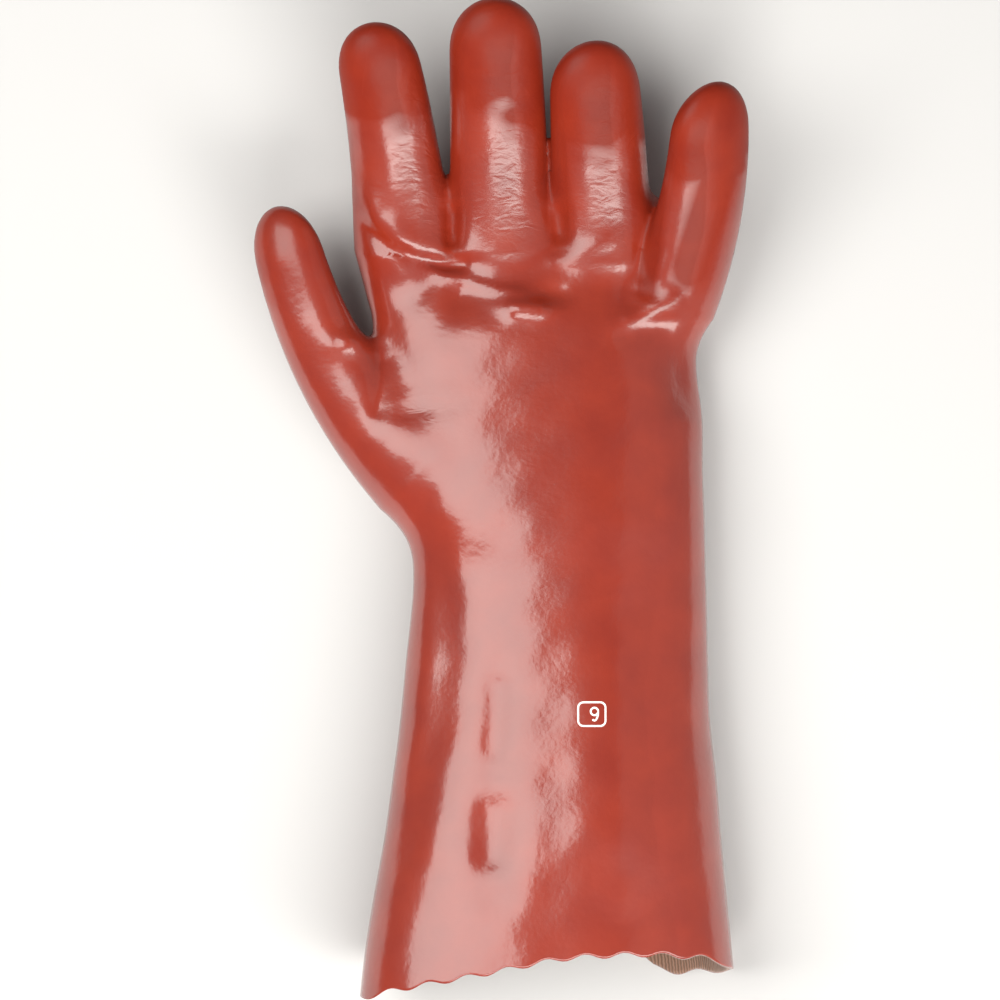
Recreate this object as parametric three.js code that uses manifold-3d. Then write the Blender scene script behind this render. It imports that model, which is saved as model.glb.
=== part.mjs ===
// Dipped work gauntlet for the left hand, lying on its back with the palm up.
// A glossy moulded coat covers a knitted liner, both open at a pinked cuff edge.
// Millimetres. +Y runs from the cuff to the fingertips, +Z out of the palm, and the thumb is on the -X side.
// The origin is on the flat of the back of the hand, half way along the glove.
import * as THREE from "three";
import { mergeVertices } from "three/addons/utils/BufferGeometryUtils.js";
import Module from "manifold-3d";

// Overall sizes, as the glove lies
const gloveLength = 350;
const cuffWidth = 129;
const cuffHeight = 60;
const wristWidth = 103;
const wristHeight = 47;
const palmWidth = 113;
const palmHeight = 42;
const knuckleWidth = 122;
const knuckleHeight = 35;
const fingerLength = 116.5; // the middle finger, from inside the palm to its tip
const fingerWidth = 34.5;
const fingerDepth = 29.5;
const thumbLength = 137.5;
const thumbWidth = 31;
const thumbDepth = 24;

// Walls
const coatThickness = 1.3;
const linerThickness = 1.1;
const layerGap = 0.4;

// Pinked edge of the cuff
const pinkPitch = 13.5;
const pinkHeight = 1.8;
const pinkSteps = 4; // straight cuts in one wave

// The back of the glove sags this far onto the surface, which flattens it
const restSag = 3;

const palmSegments = 18; // round the palm side of the body
const backSegments = 8;
const bodySegments = palmSegments + backSegments;
const digitSegments = 12;
const spineStep = 1;

// Gauntlet and palm. along is a share of gloveLength from the cuff end and centre a share of palmWidth.
// crown is how square the top of a section is: 2 is an ellipse. lift is the share of its height by which the
// underside is raised off the surface.
const bodySections = [
  { along: -0.03, centre: 0.008, width: 1.035 * cuffWidth, height: 1.02 * cuffHeight, crown: 2.3, lift: 0 },
  { along: 0.04, centre: 0.01, width: cuffWidth, height: cuffHeight, crown: 2.3, lift: 0 },
  { along: 0.1, centre: 0.015, width: 0.96 * cuffWidth, height: 0.97 * cuffHeight, crown: 2.25, lift: 0 },
  { along: 0.16, centre: 0.023, width: 0.915 * cuffWidth, height: 0.94 * cuffHeight, crown: 2.2, lift: 0 },
  { along: 0.22, centre: 0.029, width: 0.88 * cuffWidth, height: 0.9 * cuffHeight, crown: 2.15, lift: 0 },
  { along: 0.28, centre: 0.031, width: 1.053 * wristWidth, height: 1.09 * wristHeight, crown: 2.1, lift: 0 },
  { along: 0.34, centre: 0.037, width: 1.027 * wristWidth, height: 1.04 * wristHeight, crown: 2.05, lift: 0 },
  { along: 0.4, centre: 0.045, width: 1.002 * wristWidth, height: 1.01 * wristHeight, crown: 2, lift: 0 },
  { along: 0.43, centre: 0.045, width: 0.996 * wristWidth, height: wristHeight, crown: 2, lift: 0 },
  { along: 0.48, centre: 0.04, width: wristWidth, height: wristHeight, crown: 2.1, lift: 0 },
  { along: 0.53, centre: 0.02, width: 0.94 * palmWidth, height: 1.08 * palmHeight, crown: 2.1, lift: 0 },
  { along: 0.58, centre: 0, width: 0.98 * palmWidth, height: 1.04 * palmHeight, crown: 2.2, lift: 0 },
  { along: 0.63, centre: -0.022, width: 0.99 * palmWidth, height: palmHeight, crown: 2.3, lift: 0 },
  { along: 0.67, centre: -0.027, width: palmWidth, height: 0.97 * palmHeight, crown: 2.3, lift: 0 },
  { along: 0.7, centre: -0.031, width: 0.965 * knuckleWidth, height: 1.1 * knuckleHeight, crown: 2.3, lift: 0 },
  { along: 0.73, centre: -0.03, width: knuckleWidth, height: 1.03 * knuckleHeight, crown: 2.3, lift: 0.06 },
  { along: 0.76, centre: -0.03, width: 1.01 * knuckleWidth, height: knuckleHeight, crown: 2.2, lift: 0.22 },
  { along: 0.8, centre: -0.03, width: knuckleWidth, height: knuckleHeight, crown: 2.1, lift: 0.42 },
];
const bodyStations = [
  0.07, 0.13, 0.2, 0.27, 0.34, 0.4, 0.45, 0.49, 0.53, 0.575, 0.615, 0.65, 0.67, 0.69, 0.71, 0.73, 0.75, 0.77,
];
const bodyStart = -0.02;
const waist = 0.46; // share of a section's height where it is widest
const slant = 0.08; // how far the webs fall back towards the little finger
const slantStart = 0.6;
const webStart = 0.785; // where the palm begins to round over into the webs between the fingers
const webLength = 9; // from there to the webs
const webRounding = [
  { share: 0.45, squash: 0.9 },
  { share: 0.8, squash: 0.68 },
  { share: 1, squash: 0.36 },
];

// Digits, each a tube from inside the palm to its tip. across is a share of palmWidth, along of gloveLength.
// lean turns a digit towards +X, curl lifts it off the surface and roll turns its pad towards +X, in degrees.
// taper is the share of its girth that a digit loses on the way.
const digits = [
  {
    name: "thumb", across: -0.212, along: 0.466, length: thumbLength, width: thumbWidth, depth: thumbDepth,
    taper: 0.34, leanRoot: -53, leanTip: -9, curlRoot: 1, curlTip: 13, roll: -16,
  },
  {
    name: "index", across: -0.424, along: 0.69, length: 0.931 * fingerLength, width: 0.94 * fingerWidth,
    depth: 0.966 * fingerDepth, taper: 0.24, leanRoot: -2, leanTip: -13, curlRoot: 10, curlTip: 48, roll: -8,
  },
  {
    name: "middle", across: -0.137, along: 0.69, length: fingerLength, width: fingerWidth,
    depth: fingerDepth, taper: 0.16, leanRoot: 0, leanTip: -3, curlRoot: 12, curlTip: 46, roll: 2,
  },
  {
    name: "ring", across: 0.168, along: 0.69, length: 0.867 * fingerLength, width: 1.015 * fingerWidth,
    depth: 0.983 * fingerDepth, taper: 0.2, leanRoot: 2, leanTip: -7, curlRoot: 12, curlTip: 46, roll: 6,
  },
  {
    name: "little", across: 0.307, along: 0.643, length: 0.918 * fingerLength, width: 0.957 * fingerWidth,
    depth: 0.797 * fingerDepth, taper: 0.18, leanRoot: 30, leanTip: -6, curlRoot: 12, curlTip: 46, roll: 30,
  },
];
const curlGather = 1.5; // how much the curl gathers towards the tip: 1 is even
const tipThinning = 0.15; // share of its depth that a digit loses towards the tip
const rootLift = 0.45; // height of a digit's root as a share of the palm there
const rootTuck = 0.5; // share of its girth that a digit gives up at its root, inside the palm
const rootTuckReach = 0.25;
const shaftStations = [0, 0.2, 0.4, 0.6, 0.8, 1];
const tipLengthShare = 0.62; // length of the rounded tip as a share of the digit's width
const tipFullness = 2.4; // 2 rounds the tip off as an ellipse, more is fuller
const tipAngles = [27, 51, 72];

// Folds, hollows and mounds of the palm side. path holds shares of palmWidth across and of gloveLength
// along. depth, how far the surface drops, or rises where negative, and spread, its half width, are shares
// of palmHeight.
const folds = [
  {
    name: "index_crease", depth: 0.06, spread: 0.1,
    path: [[-0.587, 0.793], [-0.55, 0.771], [-0.483, 0.751], [-0.409, 0.741], [-0.25, 0.734]],
  },
  { name: "palm_hollow", depth: 0.055, spread: 0.2, path: [[-0.34, 0.713], [-0.25, 0.7], [-0.17, 0.696]] },
  { name: "little_fold", depth: 0.024, spread: 0.12, path: [[0.2, 0.655], [0.32, 0.668], [0.42, 0.674]] },
  { name: "heel_hollow", depth: 0.12, spread: 0.26, path: [[0.45, 0.672], [0.462, 0.57]] },
  {
    name: "thumb_mound", depth: -0.055, spread: 0.48,
    path: [[-0.42, 0.62], [-0.34, 0.53], [-0.27, 0.42]],
  },
  {
    name: "thumb_crease", depth: 0.05, spread: 0.09,
    path: [[-0.5, 0.65], [-0.508, 0.622], [-0.516, 0.575]],
  },
  {
    name: "gauntlet_valley", depth: 0.03, spread: 0.17,
    path: [[-0.385, 0.52], [-0.348, 0.46], [-0.311, 0.391], [-0.305, 0.337], [-0.336, 0.273], [-0.452, 0.124]],
  },
  {
    name: "gauntlet_mound", depth: -0.08, spread: 0.57,
    path: [[0.19, 0.4], [0.21, 0.24], [0.21, 0.08]],
  },
];
const foldFloor = 0.25; // shares of palmHeight between which a fold fades in above the resting face
const foldFull = 0.72;
const foldEndShare = 0.3; // share of its depth that a fold keeps at its ends
const foldEndReach = 1.5; // how many spreads from its ends a fold is full

// Line of the pinked cut. across is a share of palmWidth. palm and back, its two sides, are shares of
// gloveLength.
const cutLine = [
  { across: -0.8, palm: -0.002, back: 0.002 },
  { across: -0.58, palm: 0.004, back: 0.006 },
  { across: -0.45, palm: 0.017, back: 0.024 },
  { across: -0.2, palm: 0.035, back: 0.042 },
  { across: 0.05, palm: 0.051, back: 0.051 },
  { across: 0.19, palm: 0.054, back: 0.048 },
  { across: 0.3, palm: 0.055, back: 0.034 },
  { across: 0.39, palm: 0.056, back: 0.02 },
  { across: 0.52, palm: 0.056, back: 0.018 },
  { across: 0.6, palm: 0.043, back: 0.018 },
  { across: 0.8, palm: 0.03, back: 0.02 },
];
const cutReach = 40; // how far the trimming tool runs past the glove
const cutHalfWidth = 0.8; // share of palmWidth
const hollowOverrun = 6; // how far the hollow runs out past the cuff end
const weldGap = 1e-4; // points nearer than this become one

const alongY = (share) => (share - 0.5) * gloveLength;
const acrossX = (share) => share * palmWidth;
const fade = (t) => {
  const c = THREE.MathUtils.clamp(t, 0, 1);
  return c * c * (3 - 2 * c);
};

// A table's column at a place between its rows, on a smooth curve through them.
function valueAt(rows, key, column, place) {
  const last = rows.length - 1;
  const next = THREE.MathUtils.clamp(rows.findIndex((row) => row[key] > place), 1, last);
  const i = place >= rows[last][key] ? last : next;
  const [a, b] = [rows[i - 1], rows[i]];
  const slope = (before, after) => (after[column] - before[column]) / (after[key] - before[key]);
  const span = b[key] - a[key];
  const slopeA = slope(rows[Math.max(i - 2, 0)], b);
  const slopeB = slope(a, rows[Math.min(i + 1, last)]);
  const t = THREE.MathUtils.clamp((place - a[key]) / span, 0, 1);
  return (
    (2 * t ** 3 - 3 * t ** 2 + 1) * a[column] +
    (t ** 3 - 2 * t ** 2 + t) * span * slopeA +
    (3 * t ** 2 - 2 * t ** 3) * b[column] +
    (t ** 3 - t ** 2) * span * slopeB
  );
}

// How near a place is to a fold: 1 on its path, fading over its spread and towards both ends of the path.
function nearness(x, y, fold) {
  const spread = fold.spread * palmHeight;
  let [nearest, passed, length] = [Infinity, 0, 0];
  for (let i = 1; i < fold.path.length; i++) {
    const [ax, ay] = [acrossX(fold.path[i - 1][0]), alongY(fold.path[i - 1][1])];
    const [bx, by] = [acrossX(fold.path[i][0]) - ax, alongY(fold.path[i][1]) - ay];
    const t = THREE.MathUtils.clamp(((x - ax) * bx + (y - ay) * by) / (bx * bx + by * by), 0, 1);
    const away = Math.hypot(x - ax - t * bx, y - ay - t * by);
    const reach = Math.hypot(bx, by);
    if (away < nearest) [nearest, passed] = [away, length + t * reach];
    length += reach;
  }
  const toEnd = Math.min(passed, length - passed) / (foldEndReach * spread);
  return Math.exp(-((nearest / spread) ** 2)) * THREE.MathUtils.lerp(foldEndShare, 1, fade(toEnd));
}

// Presses the folds into the palm side by moving a point down, so that nested walls stay nested.
function pressFolds(point) {
  const reach = fade((point.z / palmHeight - foldFloor) / (foldFull - foldFloor));
  let drop = 0;
  for (const fold of folds) {
    drop += fold.depth * palmHeight * nearness(point.x, point.y, fold);
  }
  point.z -= drop * reach;
  return point;
}

// One section of the gauntlet or palm, as points round it, drawn in from the outside by inset.
// squash flattens it towards its middle height.
function bodyRing(along, inset, squash = 1) {
  const size = (column) => valueAt(bodySections, "along", column, along);
  const [centre, height] = [acrossX(size("centre")), size("height")];
  const lift = Math.max(size("lift"), 0) * height;
  const [halfWidth, halfHeight, middle] = [size("width") / 2, (height - lift) / 2, (height + lift) / 2];
  const widest = lift + waist * (height - lift);
  const power = 2 / size("crown");
  const turned = slant * fade((along - slantStart) / (webStart - slantStart));
  return Array.from({ length: bodySegments }, (_, i) => {
    const half = i < palmSegments ? i / palmSegments : 1 + (i - palmSegments) / backSegments;
    const [c, s] = [Math.cos(Math.PI * half), Math.sin(Math.PI * half)];
    const rise = s > 0 ? height - widest : widest - lift + restSag;
    const x = (halfWidth - inset) * Math.sign(c) * Math.abs(c) ** power;
    const z = Math.max(widest + rise * Math.sign(s) * Math.abs(s) ** power, lift) - middle;
    const drawn = squash - inset / halfHeight;
    return new THREE.Vector3(centre + x, alongY(along) - turned * (centre + x), middle + drawn * z);
  });
}

function bodyRings(inset, start) {
  const rings = [start, ...bodyStations, webStart].map((along) => bodyRing(along, inset));
  for (const { share, squash } of webRounding) {
    const ring = bodyRing(webStart, inset, squash);
    ring.forEach((point) => (point.y += share * (webLength - inset)));
    rings.push(ring);
  }
  return rings;
}

// Walks up a digit's centre line to a distance from its root.
function spineAt(digit, distance) {
  const direction = (share) => {
    const lean = THREE.MathUtils.degToRad(THREE.MathUtils.lerp(digit.leanRoot, digit.leanTip, share));
    const curled = THREE.MathUtils.lerp(digit.curlRoot, digit.curlTip, share ** curlGather);
    const curl = THREE.MathUtils.degToRad(curled);
    return new THREE.Vector3(Math.sin(lean), Math.cos(lean), 0)
      .multiplyScalar(Math.cos(curl))
      .setZ(Math.sin(curl));
  };
  const height = valueAt(bodySections, "along", "height", digit.along);
  const point = new THREE.Vector3(acrossX(digit.across), alongY(digit.along), rootLift * height);
  const steps = Math.max(1, Math.ceil(distance / spineStep));
  for (let i = 0; i < steps; i++) {
    point.addScaledVector(direction(((i + 0.5) * distance) / steps / digit.length), distance / steps);
  }
  const ahead = direction(distance / digit.length);
  const across = new THREE.Vector3().crossVectors(ahead, new THREE.Vector3(0, 0, 1)).normalize();
  across.applyAxisAngle(ahead, THREE.MathUtils.degToRad(digit.roll));
  return { point, across, up: new THREE.Vector3().crossVectors(across, ahead) };
}

function digitRing(digit, distance, halfWidth, halfDepth) {
  const { point, across, up } = spineAt(digit, distance);
  return Array.from({ length: digitSegments }, (_, i) => {
    const angle = (2 * Math.PI * i) / digitSegments;
    return point
      .clone()
      .addScaledVector(across, halfWidth * Math.cos(angle))
      .addScaledVector(up, halfDepth * Math.sin(angle));
  });
}

function digitRings(digit, inset) {
  const tipLength = tipLengthShare * digit.width;
  const shaftLength = digit.length - tipLength;
  const radii = (share) => {
    const tucked = rootTuck * Math.max(0, 1 - share / rootTuckReach);
    const girth = 1 + digit.taper * (0.5 - share) - tucked;
    const thinned = 1 - tipThinning * share ** 3;
    return [(girth * digit.width) / 2 - inset, (girth * thinned * digit.depth) / 2 - inset];
  };
  const along = (share) => THREE.MathUtils.lerp(inset, shaftLength, share);
  const rings = shaftStations.map((share) => digitRing(digit, along(share), ...radii(share)));
  const [endWidth, endDepth] = radii(1);
  for (const degrees of tipAngles) {
    const angle = THREE.MathUtils.degToRad(degrees);
    const distance = shaftLength + (tipLength - inset) * Math.sin(angle);
    const girth = Math.sqrt(1 - Math.sin(angle) ** tipFullness);
    rings.push(digitRing(digit, distance, endWidth * girth, endDepth * girth));
  }
  const tip = spineAt(digit, digit.length - inset).point;
  return { rings, tip };
}

// A closed solid through rings of as many points each, with a fan over each end.
function loft(wasm, rings, tip) {
  const count = rings[0].length;
  const middle = (ring) => ring.reduce((sum, p) => sum.add(p), new THREE.Vector3()).divideScalar(count);
  const points = [...rings.flat(), middle(rings[0]), tip ?? middle(rings.at(-1))];
  const [first, last] = [points.length - 2, points.length - 1];
  const index = [];
  for (let j = 0; j < count; j++) {
    const k = (j + 1) % count;
    for (let i = 0; i + 1 < rings.length; i++) {
      const [a, b] = [i * count + j, i * count + k];
      index.push(a, b, b + count, a, b + count, a + count);
    }
    const top = (rings.length - 1) * count;
    index.push(first, k, j, last, top + j, top + k);
  }
  return solidFrom(wasm, points, index);
}

function solidFrom(wasm, points, index) {
  const geometry = new THREE.BufferGeometry().setFromPoints(points).setIndex(index);
  const merged = mergeVertices(geometry, weldGap);
  const vertProperties = merged.attributes.position.array;
  const build = (triVerts) => new wasm.Manifold(new wasm.Mesh({ numProp: 3, vertProperties, triVerts }));
  const solid = build(new Uint32Array(merged.index.array));
  return solid.volume() > 0 ? solid : build(new Uint32Array(merged.index.array).reverse());
}

// The whole hand form, drawn in from the outside by inset. It runs out past the cuff by overrun.
function handForm(wasm, inset, overrun) {
  const press = (rings) => rings.map((ring) => ring.map(pressFolds));
  let form = loft(wasm, press(bodyRings(inset, bodyStart - overrun / gloveLength)));
  for (const digit of digits) {
    const { rings, tip } = digitRings(digit, inset);
    form = form.add(loft(wasm, press(rings), pressFolds(tip)));
  }
  return form;
}

// The pinking shears' cut: everything beyond a waved line, which runs from the palm side to the back.
function pinkingCut(wasm) {
  const [low, high] = [-cutReach, cuffHeight + cutReach];
  const edge = acrossX(cutHalfWidth);
  const count = Math.ceil((2 * edge * pinkSteps) / pinkPitch);
  const rings = [];
  for (let i = 0; i <= count; i++) {
    const x = THREE.MathUtils.lerp(-edge, edge, i / count);
    const wave = (pinkHeight / 2) * Math.cos((2 * Math.PI * x) / pinkPitch);
    const at = (z) => {
      const side = z / cuffHeight;
      const line = (column) => alongY(valueAt(cutLine, "across", column, x / palmWidth));
      return THREE.MathUtils.lerp(line("back"), line("palm"), side) + wave;
    };
    const far = alongY(0) - cutReach;
    rings.push([
      new THREE.Vector3(x, at(low), low),
      new THREE.Vector3(x, at(high), high),
      new THREE.Vector3(x, far, high),
      new THREE.Vector3(x, far, low),
    ]);
  }
  return loft(wasm, rings);
}

function meshOf(solid, name, material) {
  const made = solid.getMesh();
  const positions = new Float32Array(made.numVert * 3);
  for (let i = 0; i < made.numVert; i++) {
    positions.set(made.vertProperties.subarray(i * made.numProp, i * made.numProp + 3), i * 3);
  }
  const geometry = new THREE.BufferGeometry();
  geometry.setAttribute("position", new THREE.BufferAttribute(positions, 3));
  geometry.setIndex(new THREE.BufferAttribute(made.triVerts, 1));
  geometry.computeVertexNormals();
  const mesh = new THREE.Mesh(geometry, material);
  mesh.name = name;
  return mesh;
}

const wasm = await Module();
wasm.setup();

const coatMaterial = new THREE.MeshStandardMaterial({ color: 0xb03a2a, roughness: 0.28, metalness: 0 });
const linerMaterial = new THREE.MeshStandardMaterial({ color: 0xa98a72, roughness: 0.95, metalness: 0 });

const cut = pinkingCut(wasm);
const wall = (outer, thickness) =>
  handForm(wasm, outer, 0)
    .subtract(handForm(wasm, outer + thickness, hollowOverrun))
    .subtract(cut);

const coat = meshOf(wall(0, coatThickness), "pvc_shell", coatMaterial);
const liner = meshOf(wall(coatThickness + layerGap, linerThickness), "knit_liner", linerMaterial);

const glove = new THREE.Group();
glove.name = "work_glove";
glove.add(coat, liner);

export default glove;
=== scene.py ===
"""Looks of a dipped work gauntlet, left hand, lying palm up on a pale table.

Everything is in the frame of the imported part: +Y from cuff to fingertips, +Z out of the palm, thumb at -X.
Shapes are worked out in millimetres and turned into metres when a mesh is made.
"""

import math

import bpy
import bmesh
import numpy as np
from mathutils import Matrix, Vector


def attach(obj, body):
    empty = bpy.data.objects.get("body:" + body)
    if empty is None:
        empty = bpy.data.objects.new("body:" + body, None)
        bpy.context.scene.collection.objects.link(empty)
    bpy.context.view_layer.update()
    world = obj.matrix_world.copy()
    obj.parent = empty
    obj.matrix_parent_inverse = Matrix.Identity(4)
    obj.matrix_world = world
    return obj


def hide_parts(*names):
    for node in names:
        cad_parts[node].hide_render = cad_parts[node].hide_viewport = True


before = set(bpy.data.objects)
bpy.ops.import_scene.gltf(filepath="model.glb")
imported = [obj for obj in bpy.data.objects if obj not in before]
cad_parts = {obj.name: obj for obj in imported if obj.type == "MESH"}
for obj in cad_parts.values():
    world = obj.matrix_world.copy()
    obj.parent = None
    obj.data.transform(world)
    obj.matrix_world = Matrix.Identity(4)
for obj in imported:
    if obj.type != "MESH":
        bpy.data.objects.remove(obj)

bl_info = {
    "name": "Dipped work gauntlet",
    "version": (1, 0, 0),
    "blender": (4, 5, 0),
    "location": "3D View > Sidebar > Gauntlet",
    "description": "Builds the dipped coat, knitted liner, size mark and studio of a work gauntlet",
    "category": "Object",
}

MM = 0.001
GLOVE_LENGTH = 350.0
PALM_WIDTH = 113.0
CUFF_HEIGHT = 60.0
REST_SAG = 3.0  # mm by which the back of the glove sags onto the table, which flattens it
WAIST = 0.46  # share of a section's height where it is widest
UNDERSIDE_ROUND = 2.0  # mm over which the raised underside turns into the sides

# Gauntlet and palm, section by section: share of the length from the cuff end, centre across, width, height
# of the top, crown (2 is an ellipse, more is squarer) and lift of the underside. The lengths are in mm.
SECTIONS = (
    (-0.05, 0.8, 134.5, 61.5, 2.3, 0.0),
    (0.04, 1.1, 129.0, 60.0, 2.3, 0.0),
    (0.10, 1.7, 123.8, 58.2, 2.25, 0.0),
    (0.16, 2.6, 118.0, 56.4, 2.2, 0.0),
    (0.22, 3.3, 113.5, 54.0, 2.15, 0.0),
    (0.28, 3.5, 108.5, 51.2, 2.1, 0.0),
    (0.34, 4.2, 105.8, 48.9, 2.05, 0.0),
    (0.40, 5.1, 103.2, 47.5, 2.0, 0.0),
    (0.43, 5.1, 102.6, 47.0, 2.0, 0.0),
    (0.48, 4.5, 103.0, 47.0, 2.1, 0.0),
    (0.53, 2.3, 106.2, 45.4, 2.1, 0.0),
    (0.58, 0.0, 110.7, 43.7, 2.2, 0.0),
    (0.63, -2.5, 111.9, 42.0, 2.3, 0.0),
    (0.67, -3.0, 113.0, 40.7, 2.3, 0.0),
    (0.70, -3.5, 117.7, 38.5, 2.3, 0.0),
    (0.73, -3.4, 122.0, 36.0, 2.3, 2.2),
    (0.76, -3.4, 123.2, 35.0, 2.2, 7.7),
    (0.80, -3.4, 122.0, 35.0, 2.1, 14.7),
    (0.84, -3.4, 118.0, 35.0, 2.1, 20.0),
)
SLANT = 0.08  # how far the webs fall back towards the little finger
SLANT_START = 0.6
WEB_START = 0.785  # share of the length at which they have fallen back in full
WEB_END = 108.5  # mm along Y at which the webs between the fingers end
WEB_ROUND = 12.0  # mm over which the palm rounds over into them

# Thumb and fingers. across is a share of the palm's width, along of the glove's length, the sizes are in mm
# and taper is a share of the girth. lean, curl and roll are in degrees: lean turns a digit towards +X, curl
# lifts it off the table, each at the root and at the tip, and roll turns its pad towards +X. blend is how
# softly it meets the palm, in mm, and rub how much of the gloss of its tip is worn away.
DIGIT_COLUMNS = "across along length width depth taper lean0 lean1 curl0 curl1 roll blend rub"
DIGIT_ROWS = (
    (-0.212, 0.466, 137.5, 31.0, 24.0, 0.34, -53.0, -9.0, 1.0, 13.0, -26.0, 12.0, 0.3),
    (-0.424, 0.690, 108.5, 32.4, 28.5, 0.24, -2.0, -13.0, 10.0, 48.0, -8.0, 6.0, 1.0),
    (-0.137, 0.690, 116.5, 34.5, 29.5, 0.16, 0.0, -3.0, 12.0, 46.0, 2.0, 6.0, 1.0),
    (0.168, 0.690, 101.0, 35.0, 29.0, 0.20, 2.0, -7.0, 12.0, 46.0, 6.0, 6.0, 1.0),
    (0.307, 0.643, 107.0, 33.0, 23.5, 0.18, 30.0, -6.0, 12.0, 46.0, 30.0, 6.0, 1.0),
)
ROOT_LIFT = 0.45  # height of a digit's root as a share of the palm there
ROOT_TUCK = 0.5  # share of its girth that a digit gives up at its root, inside the palm
ROOT_TUCK_REACH = 0.25  # share of its length over which it does
ROOT_ROUND = 8.0  # mm over which the root is rounded off
CURL_GATHER = 1.5  # how much the curl gathers towards the tip: 1 is even
TIP_SHARE = 0.62  # length of the rounded tip as a share of the digit's width
TIP_FULLNESS = 2.4  # 2 rounds the tip off as an ellipse, more is fuller
FINGER_CONTACT = 1.5  # mm over which touching fingers flow together
TIP_THIN = 0.15  # how much thinner the pad gets towards the tip
SPINE_STEP = 0.5  # mm between the points of a digit's centre line
SPINE_SKIP = 6  # every sixth of them is tried first in the search for the nearest
SPINE_TRIES = 3  # times that the nearest place is then refined
DIGIT_REACH = 26.0  # mm round its centre line in which a digit is worked out
FAR = 40.0  # mm, the distance given further out than that

INDEX_CREASE = (
    (-0.587, 0.793),
    (-0.55, 0.771),
    (-0.483, 0.751),
    (-0.409, 0.741),
    (-0.305, 0.733),
    (-0.219, 0.736),
)
INDEX_LIP = (
    (-0.562, 0.801),
    (-0.519, 0.779),
    (-0.452, 0.761),
    (-0.372, 0.751),
    (-0.25, 0.748),
)
PALM_RIDGE = (
    (-0.415, 0.741),
    (-0.348, 0.729),
    (-0.277, 0.72),
    (-0.161, 0.71),
    (-0.047, 0.705),
)
GAUNTLET_VALLEY = (
    (-0.385, 0.52),
    (-0.348, 0.46),
    (-0.311, 0.391),
    (-0.305, 0.337),
    (-0.336, 0.273),
    (-0.4, 0.203),
    (-0.452, 0.124),
)

# Creases, hollows and ridges of the palm side: path as (share of palm width, share of length) points, how far
# the surface drops in mm (or rises, where negative), and the half width in mm.
FOLDS = (
    ("index crease", INDEX_CREASE, 2.0, 2.6),
    ("index lip", INDEX_LIP, -0.9, 4.2),
    ("palm ridge", PALM_RIDGE, -0.8, 2.1),
    ("palm hollow", ((-0.34, 0.713), (-0.25, 0.703), (-0.17, 0.696)), 2.2, 8.0),
    ("index crotch", ((-0.283, 0.80), (-0.286, 0.745)), 2.6, 3.2),
    ("ring crotch", ((0.035, 0.80), (0.05, 0.75)), 3.0, 4.0),
    ("little crotch", ((0.33, 0.765), (0.3, 0.71)), 2.4, 4.0),
    ("palm spots", ((-0.14, 0.693), (0.03, 0.688)), -2.8, 3.8),
    ("palm dip", ((-0.04, 0.705), (0.09, 0.705)), 1.2, 4.0),
    ("little ridge", ((0.22, 0.675), (0.32, 0.686), (0.44, 0.702)), -1.4, 3.4),
    ("little dip", ((0.2, 0.705), (0.38, 0.715)), 0.8, 5.0),
    ("little fold", ((0.2, 0.655), (0.32, 0.668), (0.42, 0.674)), 1.0, 5.0),
    ("heel hollow", ((0.45, 0.672), (0.462, 0.57)), 5.0, 11.0),
    ("ring ridge", ((-0.017, 0.735), (0.1, 0.745), (0.228, 0.761)), -0.6, 3.0),
    ("thumb mound", ((-0.42, 0.62), (-0.34, 0.53), (-0.27, 0.42)), -2.2, 20.0),
    ("thumb root mound", ((-0.55, 0.60), (-0.42, 0.51)), -0.8, 10.0),
    ("thumb web", ((-0.65, 0.655), (-0.52, 0.66)), -2.6, 4.4),
    ("thumb crease", ((-0.5, 0.65), (-0.508, 0.622), (-0.516, 0.575)), 1.2, 3.2),
    ("palm wrinkle", ((-0.489, 0.583), (-0.354, 0.589), (-0.25, 0.593)), 0.3, 3.0),
    ("palm wrinkle lip", ((-0.47, 0.6), (-0.354, 0.607), (-0.25, 0.608)), -0.2, 3.4),
    ("gauntlet valley", GAUNTLET_VALLEY, 1.3, 7.0),
    ("gauntlet streak", ((-0.145, 0.335), (-0.16, 0.235)), 1.2, 5.0),
    ("gauntlet hollow", ((-0.155, 0.225), (-0.165, 0.12)), 2.4, 8.0),
    ("gauntlet mound", ((0.19, 0.40), (0.21, 0.24), (0.21, 0.08)), -3.3, 24.0),
)
FOLD_FLOOR = 10.5  # heights in mm between which a fold fades in above the table
FOLD_FULL = 30.0
FOLD_END_SHARE = 0.3  # share of its depth that a fold keeps at its ends
FOLD_END_REACH = 1.5  # how many half widths from its ends a fold is full

# Where the skin is finely wrinkled: path as in FOLDS, half width in mm, and strength.
WRINKLED = (
    ("index pad", ((-0.42, 0.94), (-0.35, 0.8), (-0.31, 0.745)), 10.0, 1.0),
    ("index base", ((-0.55, 0.84), (-0.5, 0.78)), 6.0, 0.5),
    ("middle pad", ((-0.12, 0.94), (-0.11, 0.78), (-0.12, 0.73)), 12.0, 1.0),
    ("ring pad", ((0.2, 0.92), (0.17, 0.79), (0.12, 0.745)), 12.0, 1.0),
    ("little pad", ((0.45, 0.86), (0.4, 0.76)), 4.0, 0.5),
    ("little ridge", ((0.28, 0.685), (0.43, 0.7)), 4.0, 0.8),
    ("palm middle", ((-0.05, 0.72), (-0.03, 0.66), (-0.02, 0.55), (0.03, 0.4)), 12.0, 0.3),
    ("palm wrinkle", ((-0.489, 0.583), (-0.25, 0.593)), 6.0, 0.6),
    ("thumb mound", ((-0.6, 0.66), (-0.56, 0.58)), 7.0, 0.4),
)

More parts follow.
